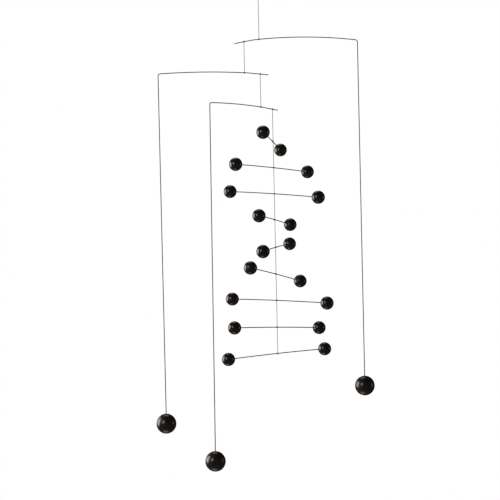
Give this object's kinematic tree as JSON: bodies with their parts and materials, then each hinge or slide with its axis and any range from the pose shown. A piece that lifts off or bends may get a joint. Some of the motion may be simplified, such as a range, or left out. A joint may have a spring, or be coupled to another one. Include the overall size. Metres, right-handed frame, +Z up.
{
  "type": "hanging mobile sculpture",
  "caption": "Hanging mobile: nested bent wire arms with large black balls on long legs, and small crossbars with ball ends turning on a thread in the middle.",
  "frame": {"origin": "where a hook bears, inside the top of the hanging loop", "axes": "+Z up, +X to the right and +Y away from the viewer, with the mobile turned as in the picture"},
  "size_m": [0.3332, 0.1774, 0.7357],
  "materials": {
    "black_gloss": "smooth black gloss",
    "steel_wire": "dark drawn wire",
    "thread": "dark grey twisted thread"
  },
  "bodies": {
    "hanger": {"hanging_loop": "thread", "hanging_loop_knot": "thread", "hanging_thread": "thread"},
    "upper_arm": {"upper_arm": "steel_wire", "upper_arm_ball": "black_gloss", "upper_arm_knot": "thread", "upper_arm_end_knot": "thread", "middle_thread": "thread"},
    "middle_arm": {"middle_arm": "steel_wire", "middle_arm_ball": "black_gloss", "middle_arm_knot": "thread", "middle_arm_end_knot": "thread", "lower_thread": "thread"},
    "lower_arm": {"lower_arm": "steel_wire", "lower_arm_ball": "black_gloss", "lower_arm_knot": "thread", "lower_arm_end_knot": "thread", "centre_thread": "thread"},
    "crossbar_1": {"crossbar_1": "steel_wire", "crossbar_1_ball_left": "black_gloss", "crossbar_1_ball_right": "black_gloss", "crossbar_1_knot": "thread"},
    "crossbar_2": {"crossbar_2": "steel_wire", "crossbar_2_ball_left": "black_gloss", "crossbar_2_ball_right": "black_gloss", "crossbar_2_knot": "thread"},
    "crossbar_3": {"crossbar_3": "steel_wire", "crossbar_3_ball_left": "black_gloss", "crossbar_3_ball_right": "black_gloss", "crossbar_3_knot": "thread"},
    "crossbar_4": {"crossbar_4": "steel_wire", "crossbar_4_ball_left": "black_gloss", "crossbar_4_ball_right": "black_gloss", "crossbar_4_knot": "thread"},
    "crossbar_5": {"crossbar_5": "steel_wire", "crossbar_5_ball_left": "black_gloss", "crossbar_5_ball_right": "black_gloss", "crossbar_5_knot": "thread"},
    "crossbar_6": {"crossbar_6": "steel_wire", "crossbar_6_ball_left": "black_gloss", "crossbar_6_ball_right": "black_gloss", "crossbar_6_knot": "thread"},
    "crossbar_7": {"crossbar_7": "steel_wire", "crossbar_7_ball_left": "black_gloss", "crossbar_7_ball_right": "black_gloss", "crossbar_7_knot": "thread"},
    "crossbar_8": {"crossbar_8": "steel_wire", "crossbar_8_ball_left": "black_gloss", "crossbar_8_ball_right": "black_gloss", "crossbar_8_knot": "thread"},
    "crossbar_9": {"crossbar_9": "steel_wire", "crossbar_9_ball_left": "black_gloss", "crossbar_9_ball_right": "black_gloss", "crossbar_9_knot": "thread"}
  },
  "joints": [
    {"name": "upper_arm_swivel", "type": "hinge", "parent": "hanger", "child": "upper_arm", "pos_m": [0, 0, -0.0822], "axis": [0, 0, 1], "continuous": true},
    {"name": "middle_arm_swivel", "type": "hinge", "parent": "upper_arm", "child": "middle_arm", "pos_m": [-0.02323, -0.00368, -0.13393], "axis": [0, 0, 1], "continuous": true},
    {"name": "lower_arm_swivel", "type": "hinge", "parent": "middle_arm", "child": "lower_arm", "pos_m": [0.00065, -0.00272, -0.18707], "axis": [0, 0, 1], "continuous": true},
    {"name": "crossbar_1_swivel", "type": "hinge", "parent": "lower_arm", "child": "crossbar_1", "pos_m": [0.01843, 0.01158, -0.23841], "axis": [0, 0, 1], "continuous": true},
    {"name": "crossbar_2_swivel", "type": "hinge", "parent": "lower_arm", "child": "crossbar_2", "pos_m": [0.01843, 0.01158, -0.27941], "axis": [0, 0, 1], "continuous": true},
    {"name": "crossbar_3_swivel", "type": "hinge", "parent": "lower_arm", "child": "crossbar_3", "pos_m": [0.01843, 0.01158, -0.31941], "axis": [0, 0, 1], "continuous": true},
    {"name": "crossbar_4_swivel", "type": "hinge", "parent": "lower_arm", "child": "crossbar_4", "pos_m": [0.01843, 0.01158, -0.35891], "axis": [0, 0, 1], "continuous": true},
    {"name": "crossbar_5_swivel", "type": "hinge", "parent": "lower_arm", "child": "crossbar_5", "pos_m": [0.01843, 0.01158, -0.40141], "axis": [0, 0, 1], "continuous": true},
    {"name": "crossbar_6_swivel", "type": "hinge", "parent": "lower_arm", "child": "crossbar_6", "pos_m": [0.01843, 0.01158, -0.44241], "axis": [0, 0, 1], "continuous": true},
    {"name": "crossbar_7_swivel", "type": "hinge", "parent": "lower_arm", "child": "crossbar_7", "pos_m": [0.01843, 0.01158, -0.48291], "axis": [0, 0, 1], "continuous": true},
    {"name": "crossbar_8_swivel", "type": "hinge", "parent": "lower_arm", "child": "crossbar_8", "pos_m": [0.01843, 0.01158, -0.52391], "axis": [0, 0, 1], "continuous": true},
    {"name": "crossbar_9_swivel", "type": "hinge", "parent": "lower_arm", "child": "crossbar_9", "pos_m": [0.01843, 0.01158, -0.56391], "axis": [0, 0, 1], "continuous": true}
  ]
}
